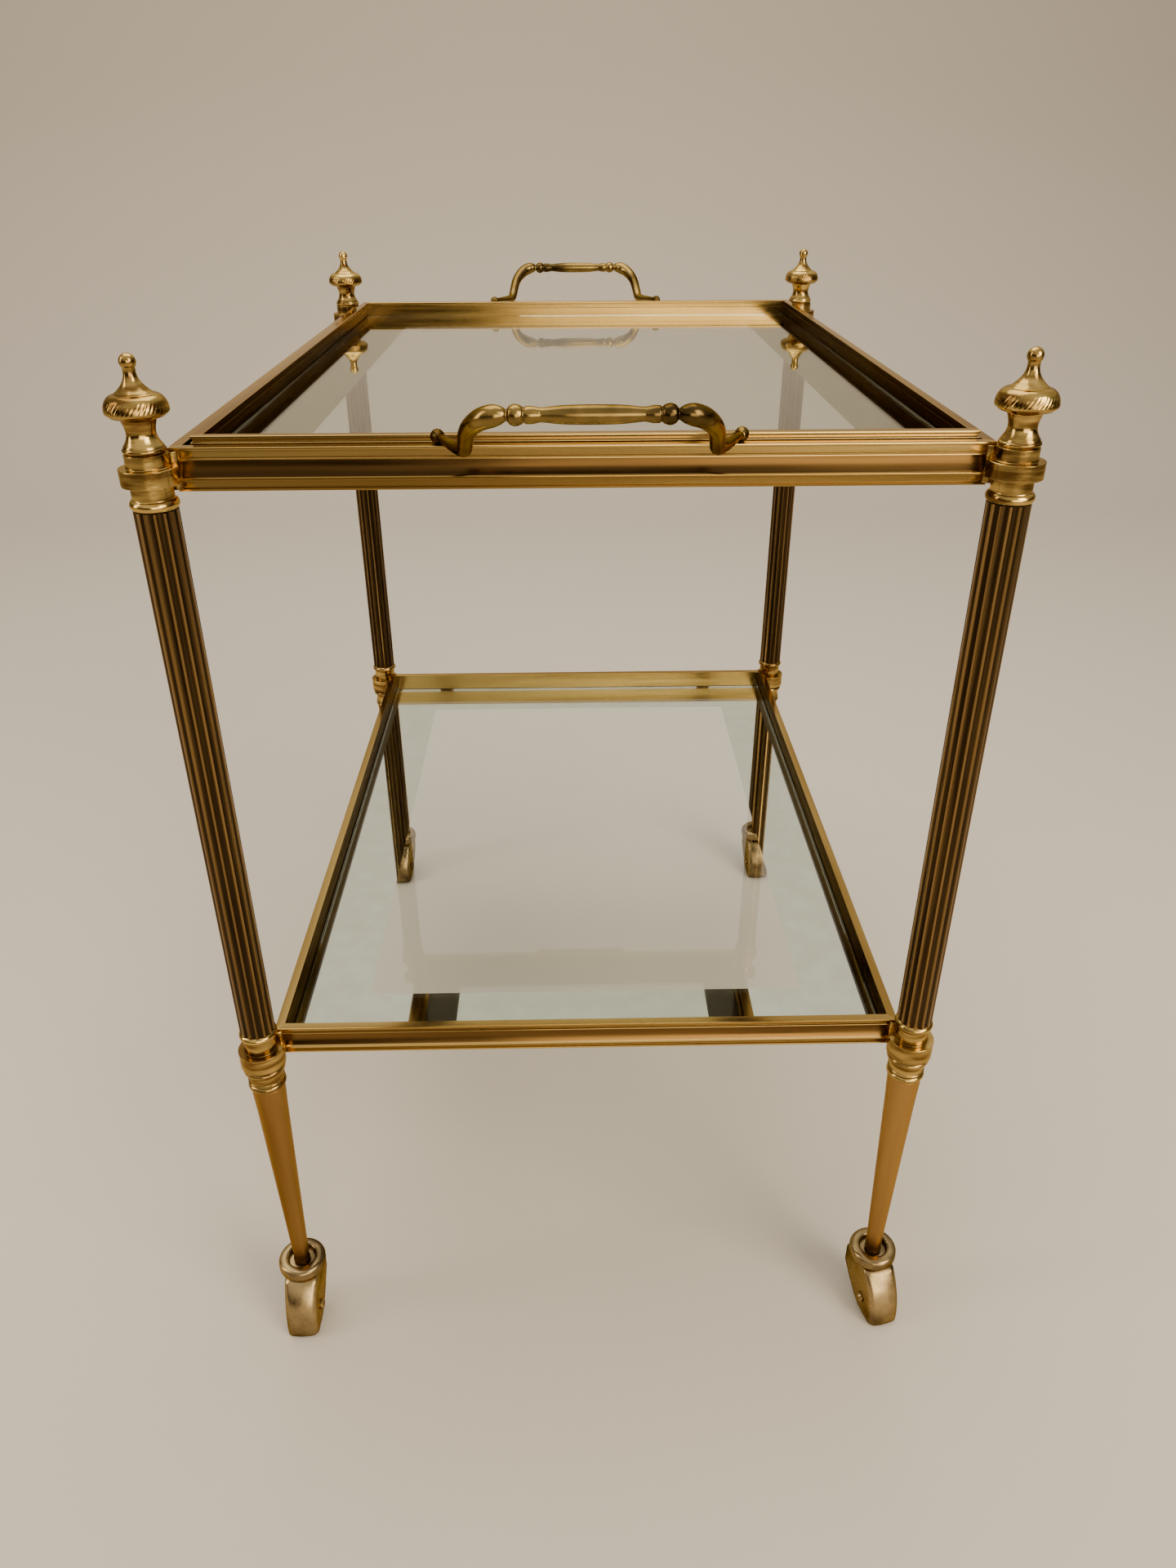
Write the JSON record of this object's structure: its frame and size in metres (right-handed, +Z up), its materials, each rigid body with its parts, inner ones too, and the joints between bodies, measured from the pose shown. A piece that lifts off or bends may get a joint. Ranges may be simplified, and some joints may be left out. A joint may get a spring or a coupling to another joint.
{
  "type": "dessert trolley",
  "caption": "Two-tier brass dessert trolley on swivel casters: fluted posts with turned finials, a glass shelf and a lift-off glazed tray with two pull handles.",
  "frame": {"origin": "on the floor, below the middle of the frame: centre of the bounding box's bottom face", "axes": "+Z up, +Y along the trolley from its front short end to its back, +X to the right seen from the front"},
  "size_m": [0.4329, 0.6574, 0.6443],
  "materials": {
    "polished_brass": "aged polished brass, clear lacquered look",
    "fluted_brass": "fluted brass with dark patina in the flutes",
    "antique_brass": "dull antique cast brass",
    "handle_brass": "olive bronzed cast brass",
    "wheel_brass": "worn turned brass",
    "steel": "darkened steel",
    "glass": "clear float glass with a silvered border"
  },
  "bodies": {
    "frame": {"finial_fl": "polished_brass", "finial_fr": "polished_brass", "finial_bl": "polished_brass", "finial_br": "polished_brass", "upper_collar_fl": "polished_brass", "upper_collar_fr": "polished_brass", "upper_collar_bl": "polished_brass", "upper_collar_br": "polished_brass", "column_fl": "fluted_brass", "column_fr": "fluted_brass", "column_bl": "fluted_brass", "column_br": "fluted_brass", "lower_collar_fl": "polished_brass", "lower_collar_fr": "polished_brass", "lower_collar_bl": "polished_brass", "lower_collar_br": "polished_brass", "leg_fl": "polished_brass", "leg_fr": "polished_brass", "leg_bl": "polished_brass", "leg_br": "polished_brass", "tie_rods": "steel", "upper_rail_front": "polished_brass", "upper_rail_back": "polished_brass", "upper_rail_left": "polished_brass", "upper_rail_right": "polished_brass", "lower_rail_front": "polished_brass", "lower_rail_back": "polished_brass", "lower_rail_left": "polished_brass", "lower_rail_right": "polished_brass", "shelf_glass": "glass", "caster_cup_fl": "antique_brass", "caster_cup_fr": "antique_brass", "caster_cup_bl": "antique_brass", "caster_cup_br": "antique_brass"},
    "tray": {"tray_rim_front": "polished_brass", "tray_rim_back": "polished_brass", "tray_rim_left": "polished_brass", "tray_rim_right": "polished_brass", "tray_glass": "glass", "handle_front": "handle_brass", "handle_back": "handle_brass"},
    "caster_fl": {"caster_hood_fl": "antique_brass", "caster_kingpin_fl": "steel", "caster_axle_fl": "steel"},
    "wheel_fl": {"caster_wheel_fl": "wheel_brass"},
    "caster_fr": {"caster_hood_fr": "antique_brass", "caster_kingpin_fr": "steel", "caster_axle_fr": "steel"},
    "wheel_fr": {"caster_wheel_fr": "wheel_brass"},
    "caster_bl": {"caster_hood_bl": "antique_brass", "caster_kingpin_bl": "steel", "caster_axle_bl": "steel"},
    "wheel_bl": {"caster_wheel_bl": "wheel_brass"},
    "caster_br": {"caster_hood_br": "antique_brass", "caster_kingpin_br": "steel", "caster_axle_br": "steel"},
    "wheel_br": {"caster_wheel_br": "wheel_brass"}
  },
  "joints": [
    {"name": "tray_lift", "type": "slide", "parent": "frame", "child": "tray", "axis": [0, 0, 1], "range_m": [0, 0.12]},
    {"name": "swivel_fl", "type": "hinge", "parent": "frame", "child": "caster_fl", "pos_m": [-0.2, -0.2759, 0.041], "axis": [0, 0, 1], "continuous": true},
    {"name": "wheel_spin_fl", "type": "hinge", "parent": "caster_fl", "child": "wheel_fl", "pos_m": [-0.19979, -0.2879, 0.0135], "axis": [0.9998, 0.0175, 0], "continuous": true},
    {"name": "swivel_fr", "type": "hinge", "parent": "frame", "child": "caster_fr", "pos_m": [0.2, -0.2759, 0.041], "axis": [0, 0, 1], "continuous": true},
    {"name": "wheel_spin_fr", "type": "hinge", "parent": "caster_fr", "child": "wheel_fr", "pos_m": [0.2029, -0.28754, 0.0135], "axis": [0.9703, 0.2419, 0], "continuous": true},
    {"name": "swivel_bl", "type": "hinge", "parent": "frame", "child": "caster_bl", "pos_m": [-0.2, 0.2759, 0.041], "axis": [0, 0, 1], "continuous": true},
    {"name": "wheel_spin_bl", "type": "hinge", "parent": "caster_bl", "child": "wheel_bl", "pos_m": [-0.20042, 0.26391, 0.0135], "axis": [0.9994, -0.0349, 0], "continuous": true},
    {"name": "swivel_br", "type": "hinge", "parent": "frame", "child": "caster_br", "pos_m": [0.2, 0.2759, 0.041], "axis": [0, 0, 1], "continuous": true},
    {"name": "wheel_spin_br", "type": "hinge", "parent": "caster_br", "child": "wheel_br", "pos_m": [0.20042, 0.26391, 0.0135], "axis": [0.9994, 0.0349, 0], "continuous": true}
  ]
}
